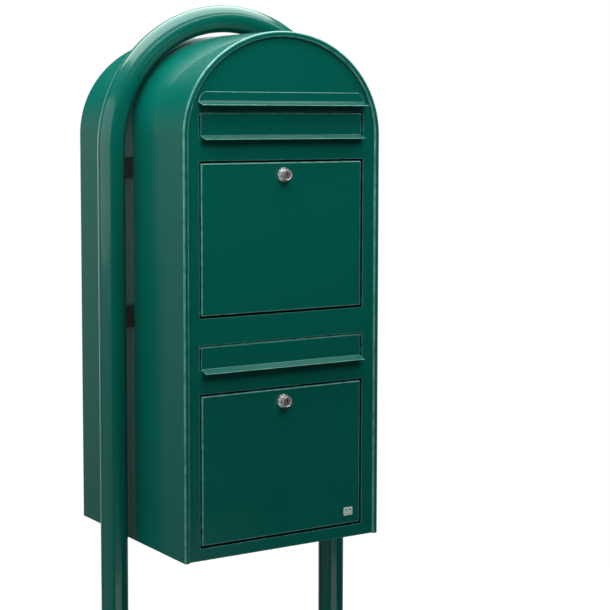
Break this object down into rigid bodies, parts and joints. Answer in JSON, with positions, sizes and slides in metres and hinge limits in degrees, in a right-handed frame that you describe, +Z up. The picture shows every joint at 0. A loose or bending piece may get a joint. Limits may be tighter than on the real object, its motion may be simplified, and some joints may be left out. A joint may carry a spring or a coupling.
{
  "type": "post box",
  "caption": "Arched steel post box with stacked letter slots and fold-down locking doors, carried inside a round-tube hoop stand for setting in concrete.",
  "frame": {"origin": "midway between the centres of the two post ends, where the stand meets the bottom of its footing", "axes": "+Z up along the posts, front of the box (slots and doors) towards -Y, +X to the right of someone facing the front"},
  "size_m": [0.49, 0.3907, 1.8],
  "materials": {
    "moss_green_paint": "glossy moss-green powder coat with a fine orange-peel ripple",
    "zinc_plated_steel": "bright zinc plating, slightly dulled",
    "lock_chrome": "polished chrome plating on die-cast zinc",
    "lock_plug_metal": "satin nickel plating, warm grey",
    "black_plastic": "matt black moulded plastic with a fine grain",
    "white_print": "white plate with a line pictogram of an envelope"
  },
  "bodies": {
    "casing": {"hoop_stand": "moss_green_paint", "shell": "moss_green_paint", "rear_panel": "moss_green_paint", "front_panel": "moss_green_paint", "floor_plate": "moss_green_paint", "divider_shelf": "moss_green_paint", "rain_hood": "moss_green_paint", "upper_chute": "moss_green_paint", "lower_chute": "moss_green_paint", "anchor_rod_upper": "zinc_plated_steel", "anchor_rod_lower": "zinc_plated_steel", "stand_bolt_left_upper": "zinc_plated_steel", "bolt_washer_left_upper": "zinc_plated_steel", "post_insert_left_upper": "zinc_plated_steel", "stand_bolt_left_lower": "zinc_plated_steel", "bolt_washer_left_lower": "zinc_plated_steel", "post_insert_left_lower": "zinc_plated_steel", "stand_bolt_right_upper": "zinc_plated_steel", "bolt_washer_right_upper": "zinc_plated_steel", "post_insert_right_upper": "zinc_plated_steel", "stand_bolt_right_lower": "zinc_plated_steel", "bolt_washer_right_lower": "zinc_plated_steel", "post_insert_right_lower": "zinc_plated_steel", "upper_flap_rod": "zinc_plated_steel", "upper_flap_bracket_left": "zinc_plated_steel", "upper_flap_bracket_right": "zinc_plated_steel", "upper_hinge_bracket_left": "zinc_plated_steel", "upper_hinge_bracket_right": "zinc_plated_steel", "upper_hinge_pin_left": "zinc_plated_steel", "upper_hinge_pin_right": "zinc_plated_steel", "upper_lock_strike": "zinc_plated_steel", "lower_flap_rod": "zinc_plated_steel", "lower_flap_bracket_left": "zinc_plated_steel", "lower_flap_bracket_right": "zinc_plated_steel", "lower_hinge_bracket_left": "zinc_plated_steel", "lower_hinge_bracket_right": "zinc_plated_steel", "lower_hinge_pin_left": "zinc_plated_steel", "lower_hinge_pin_right": "zinc_plated_steel", "lower_lock_strike": "zinc_plated_steel", "spacer_left_upper": "black_plastic", "spacer_left_lower": "black_plastic", "spacer_right_upper": "black_plastic", "spacer_right_lower": "black_plastic"},
    "upper_flap": {"upper_flap": "moss_green_paint"},
    "lower_flap": {"lower_flap": "moss_green_paint"},
    "upper_door": {"upper_door": "moss_green_paint", "upper_lock_body": "lock_chrome", "upper_lock_nut": "zinc_plated_steel"},
    "upper_lock": {"upper_lock_plug": "lock_plug_metal", "upper_lock_cam": "zinc_plated_steel", "upper_cam_screw": "zinc_plated_steel"},
    "lower_door": {"lower_door": "moss_green_paint", "lower_lock_body": "lock_chrome", "lower_lock_nut": "zinc_plated_steel", "door_badge": "white_print"},
    "lower_lock": {"lower_lock_plug": "lock_plug_metal", "lower_lock_cam": "zinc_plated_steel", "lower_cam_screw": "zinc_plated_steel"}
  },
  "joints": [
    {"name": "upper_flap_hinge", "type": "hinge", "parent": "casing", "child": "upper_flap", "pos_m": [0, -0.181, 1.613], "axis": [-1, 0, 0], "range_deg": [0, 75]},
    {"name": "upper_door_hinge", "type": "hinge", "parent": "casing", "child": "upper_door", "pos_m": [0, -0.177, 1.2965], "axis": [1, 0, 0], "range_deg": [0, 95]},
    {"name": "upper_lock_turn", "type": "hinge", "parent": "upper_door", "child": "upper_lock", "pos_m": [0, -0.185, 1.514], "axis": [0, -1, 0], "range_deg": [0, 90]},
    {"name": "lower_flap_hinge", "type": "hinge", "parent": "casing", "child": "lower_flap", "pos_m": [0, -0.181, 1.238], "axis": [-1, 0, 0], "range_deg": [0, 75]},
    {"name": "lower_door_hinge", "type": "hinge", "parent": "casing", "child": "lower_door", "pos_m": [0, -0.177, 0.9215], "axis": [1, 0, 0], "range_deg": [0, 95]},
    {"name": "lower_lock_turn", "type": "hinge", "parent": "lower_door", "child": "lower_lock", "pos_m": [0, -0.185, 1.139], "axis": [0, -1, 0], "range_deg": [0, 90]}
  ]
}
